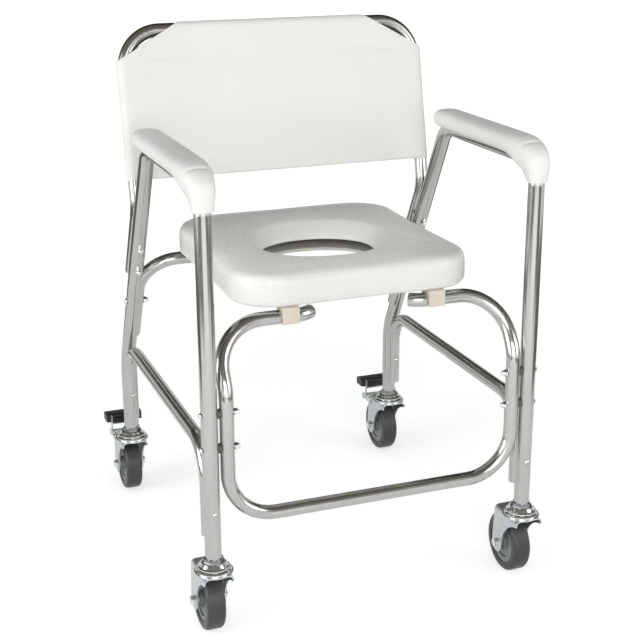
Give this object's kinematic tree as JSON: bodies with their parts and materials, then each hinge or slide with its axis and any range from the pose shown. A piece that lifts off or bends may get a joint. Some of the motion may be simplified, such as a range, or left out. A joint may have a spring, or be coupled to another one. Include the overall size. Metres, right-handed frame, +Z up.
{
  "type": "shower commode chair",
  "caption": "Wheeled bent-tube shower commode chair with a lift-up padded seat with an oval opening, padded arms, a slip-on back cover, swivel casters and brake pedals.",
  "frame": {"origin": "on the floor, under the middle of the chair's box", "axes": "+Z up, -Y the way the sitter faces, +X to the right as seen from the front"},
  "size_m": [0.598, 0.6662, 0.8909],
  "materials": {
    "tube": "polished and anodised",
    "cover": "smooth coated cloth",
    "cushion": "smooth coated skin over foam",
    "arm_pad": "fine grained foam skin",
    "bright_steel": "bright plated",
    "zinc_steel": "zinc plated",
    "dark_steel": "dark plated",
    "saddle_plastic": "moulded",
    "nylon": "moulded",
    "board": "flat moulded",
    "clip_plastic": "moulded",
    "hub_plastic": "moulded",
    "tyre_rubber": "smooth",
    "pedal_plastic": "moulded"
  },
  "bodies": {
    "frame": {"left_side_frame": "tube", "right_side_frame": "tube", "left_stretcher": "tube", "right_stretcher": "tube", "front_loop": "tube", "rear_seat_arch": "tube", "back_frame": "tube", "back_cover": "cover", "left_arm_pad": "arm_pad", "right_arm_pad": "arm_pad", "loop_bolts": "bright_steel", "loop_acorn_nuts": "bright_steel", "loop_spacers": "saddle_plastic", "arch_bolts": "bright_steel", "arch_acorn_nuts": "bright_steel", "back_bolts": "bright_steel", "back_acorn_nuts": "bright_steel", "back_saddles": "saddle_plastic", "stretcher_rivets": "tube", "stem_sockets": "nylon", "caster_stems": "dark_steel", "swivel_caps": "bright_steel", "swivel_balls": "bright_steel"},
    "seat": {"seat_cushion": "cushion", "seat_base": "board", "front_seat_clips": "clip_plastic", "rear_seat_clips": "clip_plastic", "clip_screws": "bright_steel"},
    "front_left_caster": {"front_left_fork": "zinc_steel", "front_left_raceway": "bright_steel", "front_left_axle": "bright_steel", "front_left_bush": "nylon"},
    "front_left_wheel": {"front_left_hub": "hub_plastic", "front_left_tyre": "tyre_rubber"},
    "front_right_caster": {"front_right_fork": "zinc_steel", "front_right_raceway": "bright_steel", "front_right_axle": "bright_steel", "front_right_bush": "nylon"},
    "front_right_wheel": {"front_right_hub": "hub_plastic", "front_right_tyre": "tyre_rubber"},
    "rear_left_caster": {"rear_left_fork": "zinc_steel", "rear_left_raceway": "bright_steel", "rear_left_axle": "bright_steel", "rear_left_bush": "nylon", "left_brake_pin": "bright_steel"},
    "rear_left_wheel": {"rear_left_hub": "hub_plastic", "rear_left_tyre": "tyre_rubber"},
    "left_brake": {"left_brake_lever": "zinc_steel", "left_brake_pedal": "pedal_plastic"},
    "rear_right_caster": {"rear_right_fork": "zinc_steel", "rear_right_raceway": "bright_steel", "rear_right_axle": "bright_steel", "rear_right_bush": "nylon", "right_brake_pin": "bright_steel"},
    "rear_right_wheel": {"rear_right_hub": "hub_plastic", "rear_right_tyre": "tyre_rubber"},
    "right_brake": {"right_brake_lever": "zinc_steel", "right_brake_pedal": "pedal_plastic"}
  },
  "joints": [
    {"name": "seat_lift", "type": "hinge", "parent": "frame", "child": "seat", "pos_m": [0, 0.12987, 0.49], "axis": [-1, 0, 0], "range_deg": [0, 45]},
    {"name": "front_left_swivel", "type": "hinge", "parent": "frame", "child": "front_left_caster", "pos_m": [-0.265, -0.30315, 0.1165], "axis": [0, 0, 1], "continuous": true},
    {"name": "front_left_spin", "type": "hinge", "parent": "front_left_caster", "child": "front_left_wheel", "pos_m": [-0.265, -0.26815, 0.05], "axis": [1, 0, 0], "continuous": true},
    {"name": "front_right_swivel", "type": "hinge", "parent": "frame", "child": "front_right_caster", "pos_m": [0.265, -0.30315, 0.1165], "axis": [0, 0, 1], "continuous": true},
    {"name": "front_right_spin", "type": "hinge", "parent": "front_right_caster", "child": "front_right_wheel", "pos_m": [0.265, -0.26815, 0.05], "axis": [1, 0, 0], "continuous": true},
    {"name": "rear_left_swivel", "type": "hinge", "parent": "frame", "child": "rear_left_caster", "pos_m": [-0.265, 0.24685, 0.1165], "axis": [0, 0, 1], "continuous": true},
    {"name": "rear_left_spin", "type": "hinge", "parent": "rear_left_caster", "child": "rear_left_wheel", "pos_m": [-0.265, 0.28185, 0.05], "axis": [1, 0, 0], "continuous": true},
    {"name": "left_brake_press", "type": "hinge", "parent": "rear_left_caster", "child": "left_brake", "pos_m": [-0.265, 0.28385, 0.106], "axis": [-1, 0, 0], "range_deg": [0, 14.5]},
    {"name": "rear_right_swivel", "type": "hinge", "parent": "frame", "child": "rear_right_caster", "pos_m": [0.265, 0.24685, 0.1165], "axis": [0, 0, 1], "continuous": true},
    {"name": "rear_right_spin", "type": "hinge", "parent": "rear_right_caster", "child": "rear_right_wheel", "pos_m": [0.265, 0.28185, 0.05], "axis": [1, 0, 0], "continuous": true},
    {"name": "right_brake_press", "type": "hinge", "parent": "rear_right_caster", "child": "right_brake", "pos_m": [0.265, 0.28385, 0.106], "axis": [-1, 0, 0], "range_deg": [0, 14.5]}
  ]
}
